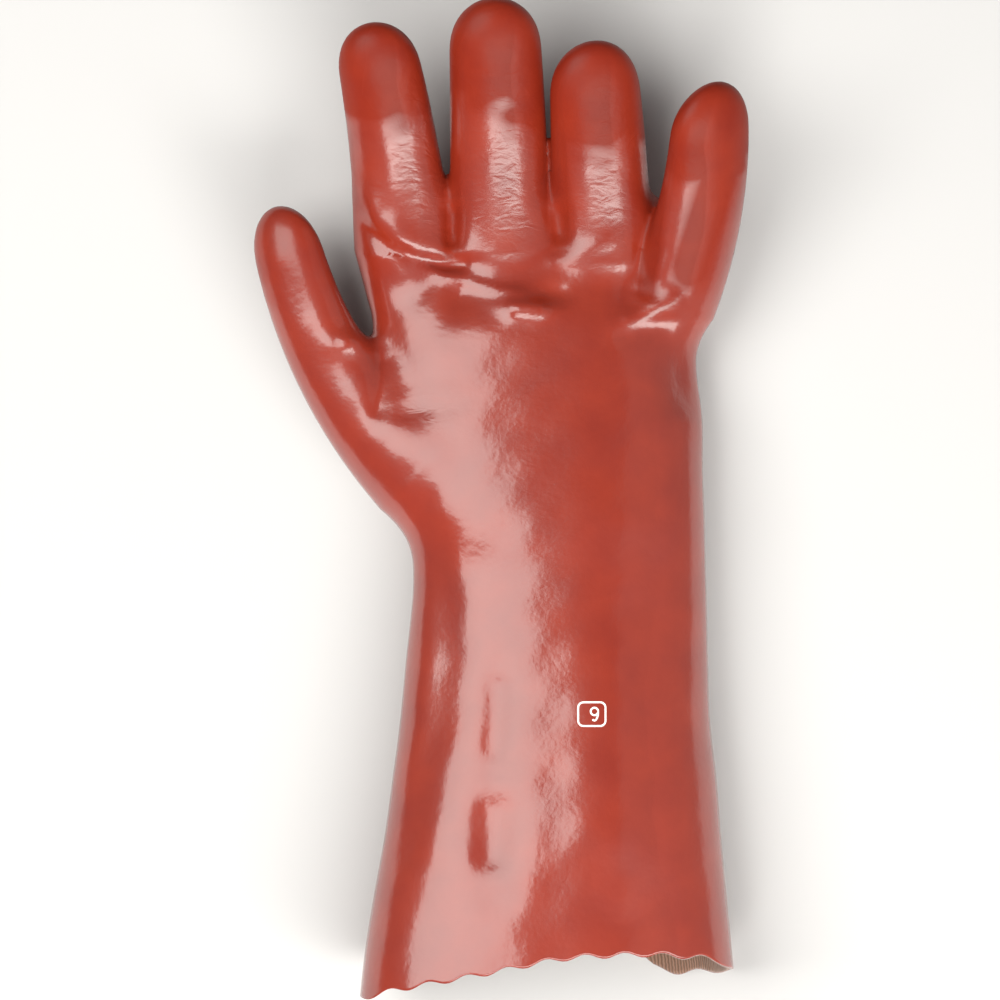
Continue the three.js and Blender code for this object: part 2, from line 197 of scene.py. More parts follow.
# Where the gloss is rubbed away, besides the tips: path as in FOLDS, half width in mm, and strength.
DULLED = (
    ("little pad", ((0.56, 0.85), (0.45, 0.735), (0.42, 0.70)), 7.5, 1.0),
    ("ring crotch", ((0.03, 0.88), (0.05, 0.745)), 4.0, 1.0),
    ("index crotch", ((-0.285, 0.85), (-0.289, 0.735)), 3.2, 1.0),
    ("little crotch", ((0.345, 0.82), (0.334, 0.78), (0.303, 0.69)), 3.6, 1.0),
)

# The printed size: where its middle is, as shares of the palm's width and the glove's length, and its sizes
# in mm.
MARK_ACROSS = 0.14
MARK_ALONG = 0.2897
MARK_WIDTH = 9.4
MARK_HEIGHT = 8.1
MARK_CORNER = 1.8
FIGURE_HEIGHT = 4.4
FIGURE_BOWL = 0.29  # radius of the bowl as a share of the figure's height
FIGURE_SHIFT = 0.9  # mm from the middle of the frame towards +X
STROKE_WIDTH = 0.62
INK_THICKNESS = 0.06

LINER_GAP = 0.1  # mm between the coat and the liner inside it
COAT_BAND = 30.0  # mm in from the cuff edge to which the coat has an inside, before the liner hides it
RIM_SQUARE = 12.0  # mm over which the walls turn square to the cut edge

# Unevenness of the dip, in mm: soft lumps all over, and long ripples that run up the gauntlet.
LUMP_HEIGHT = 0.09
LUMP_LENGTH = 17.0
RIPPLE_HEIGHT = 0.12
RIPPLE_LENGTH = 22.0
RIPPLE_STRETCH = (1.0, 0.2, 0.0)  # how fast they change across, along and up, where 1 is full
RIPPLE_END = -20.0  # where along Y they have faded out
RIPPLE_FADE = 60.0
WAVES = 9  # how many plane waves make up a random unevenness

# How the gloss of the tips is rubbed away: shares of a digit's width from its tip.
RUB_START = 0.75
RUB_FADE = 0.6
RUB_UNEVENNESS = 0.06
RUB_LENGTH = 9.0  # mm between the patches of its uneven edge

# The pinked cut: share of the palm's width across, then shares of the length on the palm side and the back.
CUT = (
    (-0.8, -0.002, 0.002),
    (-0.58, 0.004, 0.006),
    (-0.45, 0.017, 0.024),
    (-0.2, 0.035, 0.042),
    (0.05, 0.051, 0.051),
    (0.19, 0.054, 0.052),
    (0.3, 0.055, 0.043),
    (0.345, 0.056, 0.026),
    (0.39, 0.056, 0.02),
    (0.52, 0.056, 0.018),
    (0.6, 0.043, 0.018),
    (0.8, 0.03, 0.02),
)

# The block of space in which the skin is looked for, in mm: across, along from the cut, and up.
GRID_ACROSS = (-112.0, 84.0)
GRID_LENGTH = 352.0
GRID_UP = (-4.0, 88.0)
GRID_MARGIN = 5  # steps that it runs out past the cut
WELD = 0.25  # mm within which the cut takes a point as lying on it
GRID_BLOCK = 400000  # points worked out at once, which keeps the memory small
DIGIT_BLOCK = 60000
RELAX = 0.6  # how far a point moves to the middle of its neighbours when the mesh is evened out
MAX_PUSH = 1.5  # mm that a point moves onto the surface at once
PUSHES = 2  # times that it is moved there after each evening out
ABOVE_ALL = 74.0  # mm, higher than the glove
WALK_STEPS = 40  # steps in which a point walks down from there onto the palm
WALK_SHARE = 0.8  # share of the distance left that one step goes
WALK_LIMITS = (-1.0, 6.0)  # mm, the least and the most distance that it counts

# Patterns of the materials, in mm.
MOTTLE_SIZE = 16.667
PEEL_SIZE = 2.381
PEEL_DEPTH = 0.07
WRINKLE_SIZES = (6.667, 3.333, 4.545)  # across, along and up
WRINKLE_DEPTH = 0.3
WRINKLE_BLUR = 0.1  # how much rougher the gloss is where the skin is wrinkled
RIB_SPACING = 1.2083
RIB_DEPTH = 0.4
KNIT_UNIT = 10.0  # one unit of the liner's texture coordinates
KNIT_GIRTH = 2.6  # girth of a section as a share of its width

# The studio, in metres. The camera looks straight down, and its picture is PICTURE_WIDTH wide at
# PICTURE_LEVEL.
CAMERA_ACROSS = -0.01575
CAMERA_HEIGHT = 1.6
PICTURE_LEVEL = 0.025
PICTURE_WIDTH = 0.35
SENSOR_WIDTH = 36.0  # mm
TABLE_SIZE = 6.0
TABLE_DROP = 0.0002
WORLD_STRENGTH = 0.12
LAMP_COLOUR = (1.0, 0.975, 0.935)
LAMP_SHARES = (1.0, 0.9, 0.8, 0.7)  # sizes of the lamps that make up one softbox

# Softboxes: name, place, what it faces, its own long way, its sizes across and along that, and its watts.
SOFTBOXES = (
    ("left_softbox", (-0.69, 0.12, 1.1), (0.0, 0.12, 0.02), (0.0, 1.0, 0.0), (1.12, 0.82), 32.5),
    ("front_softbox", (0.24, -0.65, 0.75), (0.0, 0.12, 0.03), (0.0, -0.72, -0.69), (1.2, 0.46), 31.0),
    ("right_card", (0.95, -0.1, 0.62), (0.0, 0.0, 0.02), (0.0, 1.0, 0.0), (1.4, 2.2), 7.0),
)


# Small tools


def srgb(code):
    """A hex colour as the linear RGBA that shader sockets take."""
    channels = [int(code[i : i + 2], 16) / 255 for i in (1, 3, 5)]
    linear = [c / 12.92 if c <= 0.04045 else ((c + 0.055) / 1.055) ** 2.4 for c in channels]
    return (*linear, 1.0)


def fade(t):
    """Eases from 0 to 1 as t does, and stays there on either side."""
    c = np.clip(t, 0.0, 1.0)
    return c * c * (3.0 - 2.0 * c)


def smooth_rows(rows, places):
    """Columns of a table on a smooth curve through its rows, at many places along the first column."""
    table = np.array(rows, float)
    key, values = table[:, 0], table[:, 1:]
    ahead = np.minimum(np.arange(len(key)) + 1, len(key) - 1)
    behind = np.maximum(np.arange(len(key)) - 1, 0)
    slopes = (values[ahead] - values[behind]) / (key[ahead] - key[behind])[:, None]
    places = np.clip(places, key[0], key[-1])
    i = np.clip(np.searchsorted(key, places, side="right") - 1, 0, len(key) - 2)
    span = (key[i + 1] - key[i])[:, None]
    t = (places - key[i])[:, None] / span
    return (
        (2 * t**3 - 3 * t**2 + 1) * values[i]
        + (t**3 - 2 * t**2 + t) * span * slopes[i]
        + (3 * t**2 - 2 * t**3) * values[i + 1]
        + (t**3 - t**2) * span * slopes[i + 1]
    )


def smooth_min(a, b, reach):
    """The lesser of two distances, flowing from one into the other over a reach."""
    h = np.clip(0.5 + 0.5 * (b - a) / reach, 0.0, 1.0)
    return b + (a - b) * h - reach * h * (1.0 - h)


def ripples(points, wavelength, seed, stretch=(1.0, 1.0, 1.0)):
    """Soft seeded unevenness, about -1 to 1, from plane waves in random directions."""
    rng = np.random.default_rng(seed)
    total = np.zeros(len(points))
    for _ in range(WAVES):
        direction = rng.normal(size=3)
        direction *= 2 * math.pi / (wavelength * rng.uniform(0.7, 1.5)) / np.linalg.norm(direction)
        total += np.cos(points @ (direction * np.array(stretch)) + rng.uniform(0, 2 * math.pi))
    return total / math.sqrt(WAVES)


# Shape of the glove


# The tables on smooth curves, read off at places 0.25 mm and 0.5 mm apart.
SECTION_Y = np.arange(-200.0, 130.0, 0.25)
SECTION_VALUES = smooth_rows(SECTIONS, SECTION_Y / GLOVE_LENGTH + 0.5)
CUT_X = np.arange(-100.0, 100.5, 0.5)
CUT_Y = (smooth_rows(CUT, CUT_X / PALM_WIDTH) - 0.5) * GLOVE_LENGTH


def section_at(y):
    """Centre, width, height, crown and lift of the sections at places along Y."""
    return [np.interp(y, SECTION_Y, SECTION_VALUES[:, k]) for k in range(5)]


def slant_at(y):
    """How far the sections lean back towards the little finger, as a slope."""
    share = y / GLOVE_LENGTH + 0.5
    return SLANT * fade((share - SLANT_START) / (WEB_START - SLANT_START))


def body_field(p):
    """Distance from the outside of the gauntlet and palm, in mm, negative inside."""
    x, y, z = p[:, 0], p[:, 1], p[:, 2]
    station = y + slant_at(y) * x
    centre, width, height, crown, lift = section_at(station)
    lift = np.maximum(lift, 0.0)
    widest = lift + WAIST * (height - lift)
    above = z >= widest
    rise = np.where(above, height - widest, widest - lift + REST_SAG)
    u = np.abs(x - centre) / (width / 2) + 1e-6
    v = np.abs(z - widest) / rise + 1e-6
    f = (u**crown + v**crown) ** (1 / crown)
    slope = np.hypot((u / f) ** (crown - 1) / (width / 2), (v / f) ** (crown - 1) / rise)
    d = (f - 1.0) / slope
    d = -smooth_min(-d, z - lift, UNDERSIDE_ROUND)
    return -smooth_min(-d, WEB_END - station, WEB_ROUND)


def spine_of(digit):
    """Centre line of a digit: distances along it, points, and its directions ahead, sideways and up."""
    distance = np.arange(0.0, digit["length"] + SPINE_STEP / 2, SPINE_STEP)
    share = (distance + SPINE_STEP / 2) / digit["length"]
    lean = np.radians(digit["lean0"] + (digit["lean1"] - digit["lean0"]) * share)
    curl = np.radians(digit["curl0"] + (digit["curl1"] - digit["curl0"]) * share**CURL_GATHER)
    ahead = np.stack([np.sin(lean) * np.cos(curl), np.cos(lean) * np.cos(curl), np.sin(curl)], 1)
    root_y = (digit["along"] - 0.5) * GLOVE_LENGTH
    height = section_at(root_y)[2]
    root = np.array([digit["across"] * PALM_WIDTH, root_y, ROOT_LIFT * height])
    points = root + np.concatenate([np.zeros((1, 3)), np.cumsum(ahead[:-1] * SPINE_STEP, 0)])
    sideways = np.cross(ahead, (0.0, 0.0, 1.0))
    sideways /= np.linalg.norm(sideways, axis=1, keepdims=True)
    up = np.cross(sideways, ahead)
    c, s = math.cos(math.radians(digit["roll"])), math.sin(math.radians(digit["roll"]))
    return distance, points, ahead, c * sideways - s * up, c * up + s * sideways


def digit_field(p, digit, spine):
    """Distance from the outside of a thumb or finger, in mm, negative inside."""
    length, width, depth, taper = (digit[k] for k in ("length", "width", "depth", "taper"))
    distance, points, ahead, sideways, up = spine
    tip = TIP_SHARE * width
    shaft = length - tip
    out = np.full(len(p), FAR)
    low, high = points.min(0) - DIGIT_REACH, points.max(0) + DIGIT_REACH
    near = np.flatnonzero(np.all((p > low) & (p < high), axis=1))
    coarse = np.arange(0, len(points), SPINE_SKIP)

    def along(table, s):
        return np.stack([np.interp(s, distance, table[:, k]) for k in range(3)], 1)

    for start in range(0, len(near), DIGIT_BLOCK):
        rows = near[start : start + DIGIT_BLOCK]
        q = p[rows]
        gap = ((q[:, None, :] - points[None, coarse, :]) ** 2).sum(2)
        s = distance[coarse[gap.argmin(1)]]
        for _ in range(SPINE_TRIES):
            s = np.clip(s + ((q - along(points, s)) * along(ahead, s)).sum(1), 0.0, length)
        offset = q - along(points, s)
        a, b = (offset * along(sideways, s)).sum(1), (offset * along(up, s)).sum(1)
        c = (offset * along(ahead, s)).sum(1)
        share = s / shaft
        girth = 1 + taper * (0.5 - share) - ROOT_TUCK * np.maximum(0.0, 1 - share / ROOT_TUCK_REACH)
        half_width, half_depth = girth * width / 2, girth * depth / 2 * (1 - TIP_THIN * share**3)
        onto_tip = s > shaft
        reach = np.where(onto_tip, tip, ROOT_ROUND)
        beyond = np.abs(np.where(onto_tip, s - shaft + np.maximum(c, 0.0), np.minimum(c, 0.0)) / reach)
        f = np.sqrt((a / half_width) ** 2 + (b / half_depth) ** 2 + beyond**TIP_FULLNESS) + 1e-6
        ahead_slope = TIP_FULLNESS / 2 * beyond ** (TIP_FULLNESS - 1) / reach
        slope = np.sqrt((a / half_width**2) ** 2 + (b / half_depth**2) ** 2 + ahead_slope**2) / f
        out[rows] = (f - 1.0) / np.maximum(slope, 1 / FAR)
    return out


DIGITS = [dict(zip(DIGIT_COLUMNS.split(), row)) for row in DIGIT_ROWS]
SPINES = [spine_of(digit) for digit in DIGITS]


def path_nearness(x, y, path, spread):
    """How near places on the table are to a path: 1 on it, fading over spread and towards both its ends."""
    points = [np.array([a * PALM_WIDTH, (b - 0.5) * GLOVE_LENGTH]) for a, b in path]
    reach = [math.dist(a, b) for a, b in zip(points, points[1:])]
    nearest, passed = np.full(len(x), 1e9), np.zeros(len(x))
    for i, (a, b) in enumerate(zip(points, points[1:])):
        dx, dy = b - a
        t = np.clip(((x - a[0]) * dx + (y - a[1]) * dy) / (dx * dx + dy * dy), 0.0, 1.0)
        away = np.hypot(x - a[0] - t * dx, y - a[1] - t * dy)
        nearer = away < nearest
        nearest = np.where(nearer, away, nearest)
        passed = np.where(nearer, sum(reach[:i]) + t * reach[i], passed)
    to_end = np.minimum(passed, sum(reach) - passed)
    kept = FOLD_END_SHARE + (1 - FOLD_END_SHARE) * fade(to_end / spread / FOLD_END_REACH)
    return np.exp(-((nearest / spread) ** 2)) * kept


def fold_drop(x, y):
    """How far all the folds together lower the palm side over places on the table, in mm."""
    drop = np.zeros(len(x))
    for _, path, depth, spread in FOLDS:
        drop += depth * path_nearness(x, y, path, spread)
    return drop


def unevenness(x, y):
    """Soft lumps of the dip all over, and long ripples that run up the gauntlet, in mm."""
    flat = np.stack([x, y, np.zeros(len(x))], 1)
    lumps = LUMP_HEIGHT * ripples(flat, LUMP_LENGTH, seed=5)
    long_ripples = RIPPLE_HEIGHT * ripples(flat, RIPPLE_LENGTH, seed=8, stretch=RIPPLE_STRETCH)
    return lumps + long_ripples * fade((RIPPLE_END - y) / RIPPLE_FADE)


def palm_share(z):
    """How far a height belongs to the palm side, 0 to 1."""
    return fade((z - FOLD_FLOOR) / (FOLD_FULL - FOLD_FLOOR))


def glove_field(p):
    """Distance from the outside of the glove, negative inside, in mm."""
    lowered = p.copy()
    drop = fold_drop(p[:, 0], p[:, 1]) + unevenness(p[:, 0], p[:, 1])
    lowered[:, 2] += drop * palm_share(p[:, 2])
    d = body_field(lowered)
    thumb, *fingers = [digit_field(lowered, digit, spine) for digit, spine in zip(DIGITS, SPINES)]
    hand = fingers[0]
    for finger in fingers[1:]:
        hand = smooth_min(hand, finger, FINGER_CONTACT)
    d = smooth_min(d, hand, DIGITS[1]["blend"])
    return smooth_min(d, thumb, DIGITS[0]["blend"])


def cut_line(points, pitch, height):
    """Where along Y the pinked edge runs at each point, from how far across and how high the point is."""
    x, z = points[:, 0], points[:, 2]
    palm, back = (np.interp(x, CUT_X, CUT_Y[:, k]) for k in range(2))
    return back + (palm - back) * z / CUFF_HEIGHT + height / 2 * np.cos(2 * math.pi * x / pitch)


# Meshes


def surface_nets(values, low, step):
    """A quad mesh of the zero level of values, one point in each cell that the surface crosses."""
    inside = values < 0
    shape = np.array(values.shape) - 1
    number = np.zeros(shape, int)
    for i, j, k in np.ndindex(2, 2, 2):
        number += inside[i : i + shape[0], j : j + shape[1], k : k + shape[2]]
    crossed = (number > 0) & (number < 8)
    cells = np.argwhere(crossed)
    index = np.full(tuple(shape), -1)
    index[crossed] = np.arange(len(cells))
    total, count = np.zeros((len(cells), 3)), np.zeros(len(cells))
    for axis in range(3):
        others = [k for k in range(3) if k != axis]
        for o1 in (0, 1):
            for o2 in (0, 1):
                start = np.zeros(3, int)
                start[others[0]], start[others[1]] = o1, o2
                end = start.copy()
                end[axis] = 1
                f0 = values[tuple((cells + start).T)]
                f1 = values[tuple((cells + end).T)]
                cross = (f0 < 0) != (f1 < 0)
                t = np.where(cross, f0 / np.where(cross, f0 - f1, 1.0), 0.0)
                place = cells + start + t[:, None] * (end - start)
                total[cross] += place[cross]
                count += cross
    points = low + step * total / count[:, None]
    quads = []
    for axis in range(3):
        b, c = [(axis + 1) % 3, (axis + 2) % 3]
        lower = [slice(1, -1)] * 3
        lower[axis] = slice(0, -1)
        upper = list(lower)
        upper[axis] = slice(1, None)
        first, second = inside[tuple(lower)], inside[tuple(upper)]
        for flag, order in ((first & ~second, 1), (~first & second, -1)):
            at = np.argwhere(flag) + 1
            at[:, axis] -= 1
            ring = []
            for db, dc in ((-1, -1), (0, -1), (0, 0), (-1, 0)):
                cell = at.copy()
                cell[:, b] += db
                cell[:, c] += dc
                ring.append(index[tuple(cell.T)])
            quads.append(np.stack(ring[::order], 1))
    return points, np.concatenate(quads)


def gradient(field, p, reach=0.15):
    """The direction in which a field grows at each point, and how fast."""
    out = np.empty_like(p)
    for k in range(3):
        shift = np.zeros(3)
        shift[k] = reach
        out[:, k] = (field(p + shift) - field(p - shift)) / (2 * reach)
    return out


def skin_mesh(field, step, pitch, height, relax=2):
    """The outside of the glove as points and quads, in rows along the pinked edge that run out past it."""
    low = np.array([GRID_ACROSS[0], -GRID_MARGIN * step, GRID_UP[0]])
    high = np.array([GRID_ACROSS[1], GRID_LENGTH, GRID_UP[1]])
    axes = [np.arange(low[k], high[k] + step, step) for k in range(3)]
    grid = np.stack(np.meshgrid(*axes, indexing="ij"), -1).reshape(-1, 3)

    def along_cut(q):
        shift = np.zeros_like(q)
        shift[:, 1] = cut_line(q, pitch, height)
        return q + shift

    blocks = [grid[i : i + GRID_BLOCK] for i in range(0, len(grid), GRID_BLOCK)]
    values = np.concatenate([field(along_cut(block)) for block in blocks])
    points, quads = surface_nets(values.reshape([len(a) for a in axes]), low, step)
    points = along_cut(points)
    for round_ in range(relax + 1):
        if round_:
            total, count = np.zeros_like(points), np.zeros(len(points))
            for a, b in ((0, 1), (1, 2), (2, 3), (3, 0)):
                for s, t in ((a, b), (b, a)):
                    np.add.at(total, quads[:, s], points[quads[:, t]])
                    np.add.at(count, quads[:, s], 1)
            points = (1 - RELAX) * points + RELAX * total / np.maximum(count, 1)[:, None]
        for _ in range(PUSHES):
            normal = gradient(field, points)
            size = np.maximum((normal**2).sum(1), 1e-3)
            push = np.clip(field(points) / size, -MAX_PUSH, MAX_PUSH)
            points = points - push[:, None] * normal
    return points, quads


def height_at(x, y):
    """Height of the palm side over places on the table, found by walking down onto it."""
    z = np.full(len(x), ABOVE_ALL)
    for _ in range(WALK_STEPS):
        z -= WALK_SHARE * np.clip(glove_field(np.stack([x, y, z], 1)), *WALK_LIMITS)
    return z


def rounded_frame(width, height, corner):
    """A closed rounded rectangle round the origin, as points in mm."""
    points = []
    for turn, (sx, sy) in enumerate(((1, 1), (-1, 1), (-1, -1), (1, -1))):
        angles = np.radians(np.linspace(90.0 * turn, 90.0 * turn + 90.0, 9))
        centre = np.array([sx * (width / 2 - corner), sy * (height / 2 - corner)])
        points.append(centre + corner * np.stack([np.cos(angles), np.sin(angles)], 1))
    return even_steps(np.concatenate(points + [points[0][:1]]))


def figure_nine(height):
    """The strokes of a figure nine round the origin: its bowl, and its stem that hooks back under it."""
    bowl = height * FIGURE_BOWL
    top = np.array([0.0, height / 2 - bowl])
    round_ = np.radians(np.linspace(0.0, 360.0, 40))
    hook = np.radians(np.linspace(0.0, -120.0, 20))
    stem = top + np.stack([bowl * np.cos(hook), (height - bowl) * np.sin(hook)], 1)
    return [top + bowl * np.stack([np.cos(round_), np.sin(round_)], 1), even_steps(stem)]


def even_steps(points, step=0.25):
    """A path with its points a step apart, in mm."""
    reach = np.concatenate([[0.0], np.cumsum(np.linalg.norm(np.diff(points, axis=0), axis=1))])
    places = np.linspace(0.0, reach[-1], max(2, int(reach[-1] / step)))
    return np.stack([np.interp(places, reach, points[:, k]) for k in range(2)], 1)


def ink_stroke(path, width, thickness):
    """A raised stroke of ink laid along a path on the palm side: points and faces of a closed strip."""
    ahead = np.gradient(path, axis=0)
    ahead /= np.linalg.norm(ahead, axis=1, keepdims=True)
    side = np.stack([-ahead[:, 1], ahead[:, 0]], 1) * width / 2
    left, right = path + side, path - side
    rows = [(left, thickness), (right, thickness), (right, -thickness), (left, -thickness)]
    points = np.concatenate([np.column_stack([q, height_at(q[:, 0], q[:, 1]) + up]) for q, up in rows])
    count = len(path)
    faces = [
        [row * count + i, row * count + i + 1, (row + 1) % 4 * count + i + 1, (row + 1) % 4 * count + i]
        for row in range(4)
        for i in range(count - 1)
    ]
    ends = [[row * count for row in range(4)], [row * count + count - 1 for row in reversed(range(4))]]
    return points, [face[::-1] for face in faces + ends]


# Materials


def add_node(tree, kind, settings=None, **links):
    """Adds a node. settings are its sockets' values or its own, and links are the outputs that feed it."""
    node = tree.nodes.new(kind)
    for name, value in (settings or {}).items():
        if name in node.inputs:
            node.inputs[name].default_value = value
        else:
            setattr(node, name, value)
    for name, source in links.items():
        tree.links.new(source, node.inputs[name.replace("_", " ")])
    return node


def new_material(name):
    """An empty material and its node tree."""
    material = bpy.data.materials.new(name)
    material.use_nodes = True
    tree = material.node_tree
    tree.nodes.clear()
    return material, tree


def two_colours(tree, pattern, low, high):
    """A ramp along a pattern between two colours, each given with its place."""
    ramp = add_node(tree, "ShaderNodeValToRGB", Fac=pattern.outputs["Fac"])
    for element, (place, colour) in zip(ramp.color_ramp.elements, (low, high)):
        element.position = place
        element.color = colour
    return ramp


def per(size):
    """The scale at which a pattern has a feature every so many mm."""
    return 1 / (size * MM)


def coat_material(colour, shade):
    """Dipped PVC: a saturated brick red under a clear, slightly uneven gloss.

    The gloss has fine cross wrinkles where the skin was stretched, which also blur it, and is rubbed away at
    the fingertips. The real wrinkles are about 1 mm apart, and are drawn coarser so that they show. PVC's own
    IOR is about 1.54, and the gloss has 1.9 because the real highlights are that bright.
    """
    material, tree = new_material("Dipped PVC")
    place = add_node(tree, "ShaderNodeTexCoord").outputs["Object"]
    mottle = add_node(tree, "ShaderNodeTexNoise", {"Scale": per(MOTTLE_SIZE), "Detail": 4.0}, Vector=place)
    tint = two_colours(tree, mottle, (0.3, shade), (0.75, colour))
    skin = add_node(tree, "ShaderNodeTexNoise", {"Scale": per(PEEL_SIZE), "Detail": 3.0}, Vector=place)
    peel = add_node(
        tree, "ShaderNodeBump", {"Strength": 1.0, "Distance": PEEL_DEPTH * MM}, Height=skin.outputs["Fac"]
    )
    across = add_node(
        tree, "ShaderNodeMapping", {"Scale": tuple(per(size) for size in WRINKLE_SIZES)}, Vector=place
    )
    lines = add_node(
        tree, "ShaderNodeTexNoise", {"Scale": 1.0, "Detail": 2.0, "Distortion": 0.7}, Vector=across.outputs[0]
    )
    mask = add_node(tree, "ShaderNodeAttribute", {"attribute_name": "wrinkle"})
    height = add_node(tree, "ShaderNodeMath", {"operation": "MULTIPLY"})
    tree.links.new(lines.outputs["Fac"], height.inputs[0])
    tree.links.new(mask.outputs["Fac"], height.inputs[1])
    wrinkled = add_node(
        tree,
        "ShaderNodeBump",
        {"Strength": 1.0, "Distance": WRINKLE_DEPTH * MM},
        Height=height.outputs[0],
        Normal=peel.outputs["Normal"],
    )
    dull = add_node(tree, "ShaderNodeAttribute", {"attribute_name": "dull"})
    blur = add_node(tree, "ShaderNodeMapRange", {"To Min": 0.17, "To Max": 0.27}, Value=dull.outputs["Fac"])
    worn = add_node(tree, "ShaderNodeMath", {"operation": "MULTIPLY_ADD"})
    worn.inputs[1].default_value = WRINKLE_BLUR
    tree.links.new(mask.outputs["Fac"], worn.inputs[0])
    tree.links.new(blur.outputs["Result"], worn.inputs[2])
    gloss = add_node(
        tree,
        "ShaderNodeMapRange",
        {"From Max": 0.6, "To Min": 1.0, "To Max": 0.05},
        Value=dull.outputs["Fac"],
    )
    shader = add_node(
        tree,
        "ShaderNodeBsdfPrincipled",
        {"Roughness": 0.5, "Specular IOR Level": 0.15, "Coat IOR": 1.9},
        Coat_Weight=gloss.outputs["Result"],
        Coat_Roughness=worn.outputs[0],
        Base_Color=tint.outputs["Color"],
        Normal=wrinkled.outputs["Normal"],
        Coat_Normal=wrinkled.outputs["Normal"],
    )
    add_node(tree, "ShaderNodeOutputMaterial", Surface=shader.outputs[0])
    return material


def liner_material(colour, shade):
    """Rib knitted cotton: brown, quite matt, with ribs that run up the glove, and painted shade that darkens
    the grooves between them.

    The real ribs are about 0.6 mm apart, and are drawn twice as coarse so that they show.
    """
    material, tree = new_material("Rib knitted cotton")
    place = add_node(tree, "ShaderNodeTexCoord").outputs["UV"]
    bands = math.tau / 20 * KNIT_UNIT / RIB_SPACING  # at a scale of 1 the node draws 20 bands in tau units
    rib = add_node(
        tree,
        "ShaderNodeTexWave",
        {"Scale": bands, "Distortion": 3.0, "Detail": 3.0, "Detail Scale": 2.0, "bands_direction": "X"},
        Vector=place,
    )
    # painted shade: the darker colour fills the grooves between the ribs, where the bump is lowest
    tint = two_colours(tree, rib, (0.0, shade), (1.0, colour))
    bump = add_node(
        tree, "ShaderNodeBump", {"Strength": 0.6, "Distance": RIB_DEPTH * MM}, Height=rib.outputs["Fac"]
    )
    shader = add_node(
        tree,
        "ShaderNodeBsdfPrincipled",
        {"Roughness": 0.95, "Sheen Weight": 0.3},
        Base_Color=tint.outputs["Color"],
        Normal=bump.outputs["Normal"],
    )
    add_node(tree, "ShaderNodeOutputMaterial", Surface=shader.outputs[0])
    return material


def ink_material(colour):
    """Screen printed white ink: nearly matt, so it stays white where the coat around it shines."""
    return plain_material("Screen printed ink", colour, 0.5)


def board_material(colour):
    """Board painted with matt emulsion: an even pale ground that mirrors nothing."""
    return plain_material("Matt painted board", colour, 0.7)


def plain_material(name, colour, roughness):
    """A material of one colour without a pattern."""
    material, tree = new_material(name)
    shader = add_node(tree, "ShaderNodeBsdfPrincipled", {"Base Color": colour, "Roughness": roughness})
    add_node(tree, "ShaderNodeOutputMaterial", Surface=shader.outputs[0])
    return material


# Pieces


def trimmed(points, quads, pitch, height):
    """Cuts the mesh along the pinked edge. Gives points, faces and the edges of the cut."""
    flat = points.copy()
    flat[:, 1] -= cut_line(points, pitch, height)
    mesh = bmesh.new()
    made = [mesh.verts.new(co) for co in flat]
    for quad in quads:
        mesh.faces.new([made[i] for i in quad])
    bmesh.ops.bisect_plane(
        mesh,
        geom=mesh.verts[:] + mesh.edges[:] + mesh.faces[:],
        dist=WELD,
        plane_co=(0, 0, 0),
        plane_no=(0, -1, 0),
        clear_outer=True,
    )
    mesh.verts.index_update()
    out = np.array([v.co[:] for v in mesh.verts])
    faces = [[v.index for v in f.verts] for f in mesh.faces]
    edge = np.array([v.is_boundary for v in mesh.verts])
    ring = [(e.verts[0].index, e.verts[1].index) for e in mesh.edges if e.is_boundary]
    mesh.free()
    out[edge, 1] = 0.0
    out[:, 1] += cut_line(out, pitch, height)
    return out, faces, ring


def make_object(name, points, faces, material):
    """An object from points in mm and faces."""
    data = bpy.data.meshes.new(name)
    data.from_pydata((points * MM).tolist(), [], [list(map(int, f)) for f in faces])
    data.validate()
    data.materials.append(material)
    made = bpy.data.objects.new(name, data)
    bpy.context.scene.collection.objects.link(made)
    return made


def inward(points, field, distance, pitch, height):
    """Points moved in from the outside by a wall's thickness, square to the length near the cut edge."""
    cut = cut_line(points, pitch, height)
    free = fade((points[:, 1] - cut) / RIM_SQUARE)
    normal = gradient(field, points)
    normal[:, 1] *= free
    normal /= np.linalg.norm(normal, axis=1, keepdims=True)
    moved = points - distance * normal
    moved[:, 1] += (1 - free) * (cut_line(moved, pitch, height) - cut)
    return moved


def shell_faces(faces, ring, count, band):
    """Faces of an outside, an inside for the faces in band, and the rim that joins them along the ring."""
    out = [list(f) for f in faces]
    out += [[i + count for i in reversed(f)] for f, near in zip(faces, band) if near]
    sides = {side for f in faces for side in zip(f, f[1:] + f[:1])}
    for a, b in ring:
        if (a, b) not in sides:
            a, b = b, a
        out.append([b, a, a + count, b + count])
    return out


def wrinkle_mask(points):
    """How finely wrinkled the skin is at each point of the palm side, 0 to 1."""
    mask = np.zeros(len(points))
    for _, path, spread, strength in WRINKLED:
        mask = np.maximum(mask, strength * path_nearness(points[:, 0], points[:, 1], path, spread))
    return mask * palm_share(points[:, 2])


def dullness(points):
    """How dull the gloss is at each point, 0 to 1: it is rubbed at the tips and in the DULLED patches."""
    dull = np.zeros(len(points))
    patches = ripples(points, RUB_LENGTH, seed=3)
    for digit, (_, spine, *_) in zip(DIGITS, SPINES):
        away = np.linalg.norm(points - spine[-1], axis=1) / digit["width"] + RUB_UNEVENNESS * patches
        dull = np.maximum(dull, digit["rub"] * (1 - fade((away - RUB_START) / RUB_FADE)))
    for _, path, spread, strength in DULLED:
        dull = np.maximum(dull, strength * path_nearness(points[:, 0], points[:, 1], path, spread))
    return dull


def add_values(made, name, values):
    """Keeps one number for each point of the outside, and again for the inside, for a material to read."""
    layer = made.data.attributes.new(name=name, type="FLOAT", domain="POINT")
    layer.data.foreach_set("value", np.tile(values, 2).astype(np.float32))


